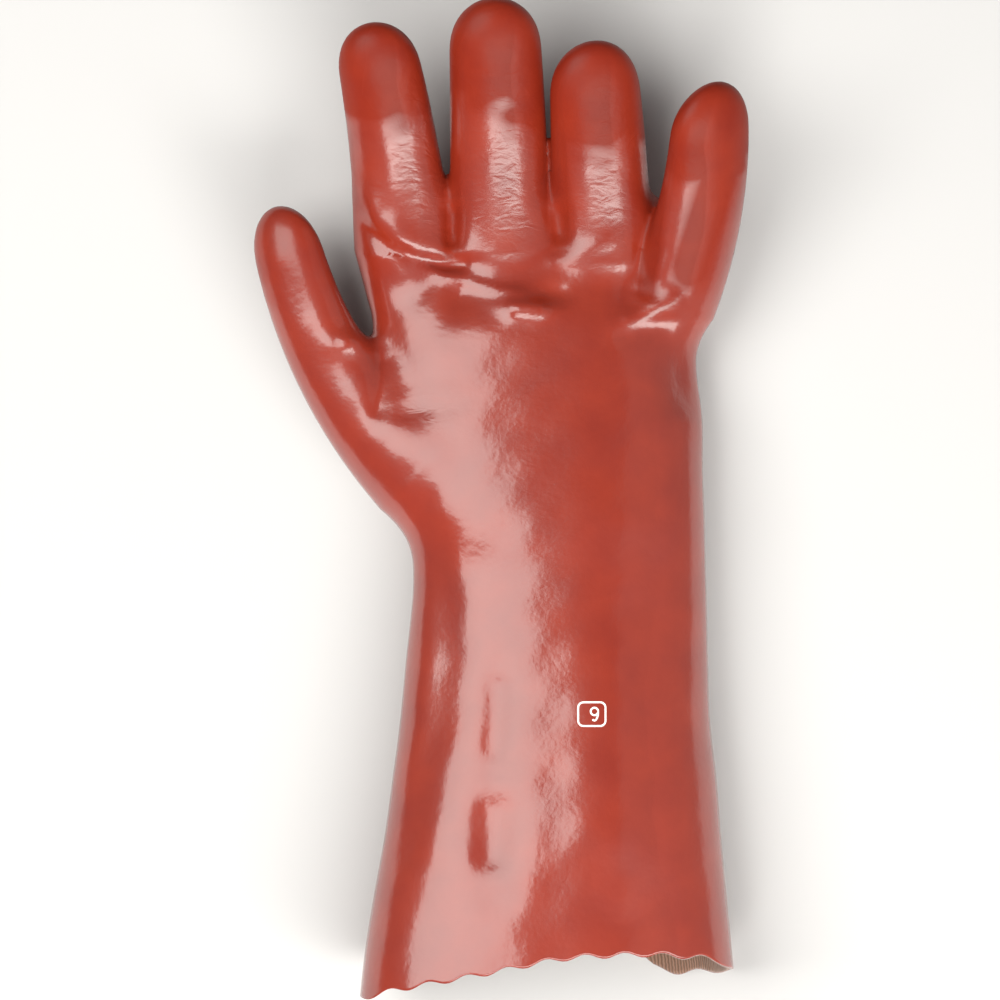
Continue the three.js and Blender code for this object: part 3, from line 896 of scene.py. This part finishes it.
def add_knit_coordinates(made, points):
    """Texture coordinates of the liner: the way round it, and the way up it."""
    centre, width, top, _, _ = section_at(points[:, 1])
    angle = np.arctan2((points[:, 2] - WAIST * top) / top * 2, (points[:, 0] - centre) / width * 2)
    around = angle / math.tau * KNIT_GIRTH * width
    places = np.tile(np.column_stack([around, points[:, 1]]) / KNIT_UNIT, (2, 1))
    layer = made.data.uv_layers.new(name="around")
    for loop in made.data.loops:
        layer.data[loop.index].uv = places[loop.vertex_index]


def drop_loose(made):
    """Deletes the points that no face uses."""
    mesh = bmesh.new()
    mesh.from_mesh(made.data)
    bmesh.ops.delete(mesh, geom=[v for v in mesh.verts if not v.link_faces], context="VERTS")
    mesh.to_mesh(made.data)
    mesh.free()


def softbox(name, place, aim, along, size, power):
    """A softbox whose glow falls off towards its edges: flat lamps of several sizes, one inside the other."""
    for share in LAMP_SHARES:
        part = [side * share for side in size]
        area_light(f"{name}_{share}", place, aim, along, part, power * share**2 / len(LAMP_SHARES))


def area_light(name, place, aim, along, size, power):
    """A flat lamp at place that faces aim. size is across and along its own length, in metres."""
    data = bpy.data.lights.new(name, "AREA")
    data.shape = "RECTANGLE"
    data.size, data.size_y = size
    data.energy = power
    data.color = LAMP_COLOUR
    made = bpy.data.objects.new(name, data)
    back = (Vector(place) - Vector(aim)).normalized()
    across = Vector(along).cross(back).normalized()
    turned = Matrix((across, back.cross(across), back)).transposed().to_4x4()
    made.matrix_world = Matrix.Translation(place) @ turned
    bpy.context.scene.collection.objects.link(made)


# Settings, operators and panel


COLOUR = {"size": 4, "min": 0.0, "max": 1.0, "subtype": "COLOR"}


class GauntletSettings(bpy.types.PropertyGroup):
    """Sizes and colours that a user would change"""

    coat_thickness: bpy.props.FloatProperty(
        name="Coat thickness", description="Thickness of the dipped coat", default=1.3 * MM, unit="LENGTH"
    )
    liner_thickness: bpy.props.FloatProperty(
        name="Liner thickness", description="Thickness of the knitted liner", default=1.1 * MM, unit="LENGTH"
    )
    pink_pitch: bpy.props.FloatProperty(
        name="Pinked pitch", description="Length of a wave of the cut edge", default=13.5 * MM, unit="LENGTH"
    )
    pink_height: bpy.props.FloatProperty(
        name="Pinked height", description="Height of a wave of the cut edge", default=1.8 * MM, unit="LENGTH"
    )
    coat_step: bpy.props.FloatProperty(
        name="Coat mesh step", description="Size of the coat's faces", default=1.5 * MM, unit="LENGTH"
    )
    liner_step: bpy.props.FloatProperty(
        name="Liner mesh step", description="Size of the liner's faces", default=2.4 * MM, unit="LENGTH"
    )
    coat_colour: bpy.props.FloatVectorProperty(
        name="Coat", description="Lighter red of the coat", default=srgb("#812511"), **COLOUR
    )
    coat_shade: bpy.props.FloatVectorProperty(
        name="Coat, darker", description="Darker red of its mottle", default=srgb("#741e0f"), **COLOUR
    )
    knit_colour: bpy.props.FloatVectorProperty(
        name="Knit", description="Colour of the liner's ribs", default=srgb("#937260"), **COLOUR
    )
    # painted shade: the darker knit colour is painted into the grooves between the ribs
    knit_groove_shade: bpy.props.FloatVectorProperty(
        name="Knit, groove shade", description="Colour between the ribs", default=srgb("#674a39"), **COLOUR
    )
    ink_colour: bpy.props.FloatVectorProperty(
        name="Ink", description="Colour of the size mark", default=srgb("#f3eeea"), **COLOUR
    )
    table_colour: bpy.props.FloatVectorProperty(
        name="Table", description="Colour of the table", default=srgb("#bdbdbd"), **COLOUR
    )


class GAUNTLET_OT_coat(bpy.types.Operator):
    """Make the glossy dipped coat"""

    bl_idname = "gauntlet.coat"
    bl_label = "Make the dipped coat"

    def execute(self, context):
        settings = context.scene.gauntlet
        pitch, height = settings.pink_pitch / MM, settings.pink_height / MM
        points, quads = skin_mesh(glove_field, settings.coat_step / MM, pitch, height)
        points, faces, ring = trimmed(points, quads, pitch, height)
        depth = points[:, 1] - cut_line(points, pitch, height)
        band = [max(depth[i] for i in f) < COAT_BAND for f in faces]
        inner = inward(points, glove_field, settings.coat_thickness / MM, pitch, height)
        shell = shell_faces(faces, ring, len(points), band)
        material = coat_material(settings.coat_colour, settings.coat_shade)
        coat = make_object("dipped_coat", np.concatenate([points, inner]), shell, material)
        coat.data.shade_smooth()
        add_values(coat, "wrinkle", wrinkle_mask(points))
        add_values(coat, "dull", dullness(points))
        drop_loose(coat)
        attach(coat, "root")
        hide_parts("pvc_shell")
        return {"FINISHED"}


class GAUNTLET_OT_liner(bpy.types.Operator):
    """Make the knitted liner"""

    bl_idname = "gauntlet.liner"
    bl_label = "Make the knitted liner"

    def execute(self, context):
        settings = context.scene.gauntlet
        pitch, height = settings.pink_pitch / MM, settings.pink_height / MM
        drawn_in = settings.coat_thickness / MM + LINER_GAP

        def liner_field(p):
            return glove_field(p) + drawn_in

        points, quads = skin_mesh(liner_field, settings.liner_step / MM, pitch, height)
        points, faces, ring = trimmed(points, quads, pitch, height)
        inner = inward(points, liner_field, settings.liner_thickness / MM, pitch, height)
        shell = shell_faces(faces, ring, len(points), [True] * len(faces))
        material = liner_material(settings.knit_colour, settings.knit_groove_shade)
        liner = make_object("knit_skin", np.concatenate([points, inner]), shell, material)
        liner.data.shade_smooth()
        add_knit_coordinates(liner, points)
        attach(liner, "root")
        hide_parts("knit_liner")
        return {"FINISHED"}


class GAUNTLET_OT_size_mark(bpy.types.Operator):
    """Print the size on the gauntlet: a plain number in a rounded frame"""

    bl_idname = "gauntlet.size_mark"
    bl_label = "Print the size mark"

    def execute(self, context):
        middle = np.array([MARK_ACROSS * PALM_WIDTH, (MARK_ALONG - 0.5) * GLOVE_LENGTH])
        strokes = [rounded_frame(MARK_WIDTH, MARK_HEIGHT, MARK_CORNER)]
        strokes += [path + np.array([FIGURE_SHIFT, 0.0]) for path in figure_nine(FIGURE_HEIGHT)]
        points, faces = [], []
        for path in strokes:
            start = sum(len(p) for p in points)
            stroke_points, stroke_faces = ink_stroke(path + middle, STROKE_WIDTH, INK_THICKNESS)
            points.append(stroke_points)
            faces += [[start + i for i in face] for face in stroke_faces]
        material = ink_material(context.scene.gauntlet.ink_colour)
        mark = make_object("size_mark", np.concatenate(points), faces, material)
        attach(mark, "root")
        return {"FINISHED"}


class GAUNTLET_OT_studio(bpy.types.Operator):
    """Make the table, the lights and the camera"""

    bl_idname = "gauntlet.studio"
    bl_label = "Make the studio"

    def execute(self, context):
        scene = context.scene
        camera_data = bpy.data.cameras.new("camera")
        camera = bpy.data.objects.new("camera", camera_data)
        camera.location = (CAMERA_ACROSS, 0.0, CAMERA_HEIGHT)
        camera_data.sensor_width = SENSOR_WIDTH
        camera_data.lens = SENSOR_WIDTH * (CAMERA_HEIGHT - PICTURE_LEVEL) / PICTURE_WIDTH
        scene.collection.objects.link(camera)
        scene.camera = camera

        bpy.ops.mesh.primitive_plane_add(size=TABLE_SIZE, location=(0, 0, -TABLE_DROP))
        floor = context.object
        floor.name = "table"
        floor.data.materials.append(board_material(scene.gauntlet.table_colour))

        for box in SOFTBOXES:
            softbox(*box)

        world = scene.world or bpy.data.worlds.new("world")
        scene.world = world
        world.use_nodes = True
        background = world.node_tree.nodes["Background"]
        background.inputs["Color"].default_value = (1, 1, 1, 1)
        background.inputs["Strength"].default_value = WORLD_STRENGTH
        scene.view_settings.view_transform = "Standard"
        return {"FINISHED"}


class GAUNTLET_PT_panel(bpy.types.Panel):
    """Buttons that make each piece, and the settings"""

    bl_label = "Dipped work gauntlet"
    bl_space_type = "VIEW_3D"
    bl_region_type = "UI"
    bl_category = "Gauntlet"

    def draw(self, context):
        for operator in OPERATORS:
            self.layout.operator(operator.bl_idname)
        for name in GauntletSettings.__annotations__:
            self.layout.prop(context.scene.gauntlet, name)


OPERATORS = (GAUNTLET_OT_studio, GAUNTLET_OT_coat, GAUNTLET_OT_liner, GAUNTLET_OT_size_mark)
CLASSES = (GauntletSettings, *OPERATORS, GAUNTLET_PT_panel)


def register():
    for cls in CLASSES:
        bpy.utils.register_class(cls)
    bpy.types.Scene.gauntlet = bpy.props.PointerProperty(type=GauntletSettings)


def unregister():
    del bpy.types.Scene.gauntlet
    for cls in reversed(CLASSES):
        bpy.utils.unregister_class(cls)


def main():
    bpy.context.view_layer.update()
    register()
    bpy.ops.gauntlet.studio()
    bpy.ops.gauntlet.coat()
    bpy.ops.gauntlet.liner()
    bpy.ops.gauntlet.size_mark()
    bpy.context.view_layer.update()


if __name__ == "__main__":
    main()
